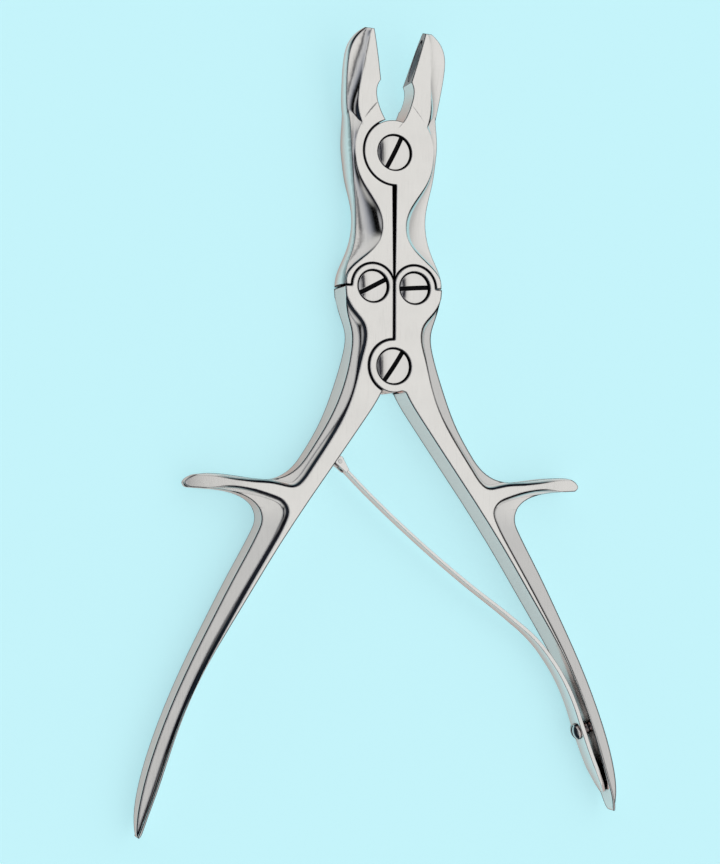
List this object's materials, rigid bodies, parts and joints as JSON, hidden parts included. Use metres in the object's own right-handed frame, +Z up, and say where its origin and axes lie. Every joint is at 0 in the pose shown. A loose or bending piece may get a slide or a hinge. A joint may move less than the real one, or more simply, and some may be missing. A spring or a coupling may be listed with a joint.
{
  "type": "bone rongeur",
  "caption": "Bone rongeur with cupped biting jaws linked to curved handles by slotted pivot screws, finger rests on the handles, and a leaf return spring that ends in a roller.",
  "frame": {"origin": "where the handle pivot's axis meets the plane that the tool lies on, under the ground-off end of its screw", "axes": "+X to the side of the handle that carries the spring, +Y from the handle pivot to the jaws, +Z up from the surface toward the slotted screw heads"},
  "size_m": [0.1458, 0.2264, 0.0133],
  "materials": {
    "jaw_steel": "polished stainless steel",
    "handle_steel": "polished stainless steel",
    "screw_steel": "polished screw heads with dark slots",
    "spring_steel": "polished spring steel",
    "roller_steel": "fine turned"
  },
  "bodies": {
    "right_handle": {"right_handle": "handle_steel", "return_spring": "spring_steel", "spring_screw": "screw_steel"},
    "left_handle": {"left_handle": "handle_steel", "handle_pivot_screw": "screw_steel", "roller_pin": "roller_steel"},
    "left_jaw": {"left_jaw": "jaw_steel", "left_link_screw": "screw_steel", "jaw_pivot_screw": "screw_steel"},
    "right_jaw": {"right_jaw": "jaw_steel", "right_link_screw": "screw_steel"},
    "spring_roller": {"spring_roller": "roller_steel"}
  },
  "joints": [
    {"name": "handle_pivot", "type": "hinge", "parent": "right_handle", "child": "left_handle", "pos_m": [0, 0, 0.00475], "axis": [0, 0, 1], "range_deg": [0, 46.6], "stiffness_Nm_per_rad": 0.5, "springref_deg": -8.59, "deforming": ["return_spring"]},
    {"name": "right_jaw_pivot", "type": "hinge", "parent": "right_handle", "child": "right_jaw", "pos_m": [0.0064, 0.0227, 0.00475], "axis": [0, 0, 1], "range_deg": [0, 36.4]},
    {"name": "left_jaw_pivot", "type": "hinge", "parent": "left_handle", "child": "left_jaw", "pos_m": [-0.0064, 0.0227, 0.00475], "axis": [0, 0, 1], "range_deg": [-36.4, 0]},
    {"name": "roller_spin", "type": "hinge", "parent": "left_handle", "child": "spring_roller", "pos_m": [-0.0152, -0.0273, 0.00475], "axis": [0, 0, 1], "continuous": true}
  ],
  "couplings": [
    {"joint": "right_jaw_pivot", "follows": "handle_pivot", "ratio": 0.7785},
    {"joint": "left_jaw_pivot", "follows": "handle_pivot", "ratio": -0.7785}
  ]
}
